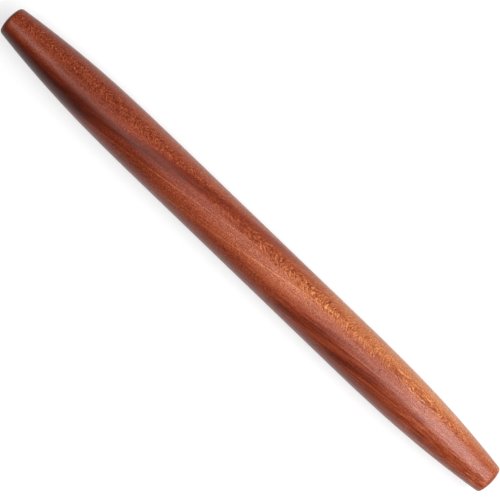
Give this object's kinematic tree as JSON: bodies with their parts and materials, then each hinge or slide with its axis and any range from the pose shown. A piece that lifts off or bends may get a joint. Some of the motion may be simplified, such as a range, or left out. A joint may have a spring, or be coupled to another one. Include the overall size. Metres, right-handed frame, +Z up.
{
  "type": "french rolling pin",
  "caption": "French rolling pin turned from solid hardwood, with a straight barrel that tapers to rounded ends and is rolled directly under the palms.",
  "frame": {"origin": "on the board that the pin lies on, midway along the pin, straight below its axis", "axes": "+X parallel to the pin's axis, which lies 16.7 mm above the board (its two ends are alike), +Y across it, +Z up from the board"},
  "size_m": [0.4, 0.0334, 0.0334],
  "materials": {
    "oiled_hardwood": "satin"
  },
  "bodies": {
    "root": {"rolling_pin": "oiled_hardwood"}
  },
  "joints": []
}
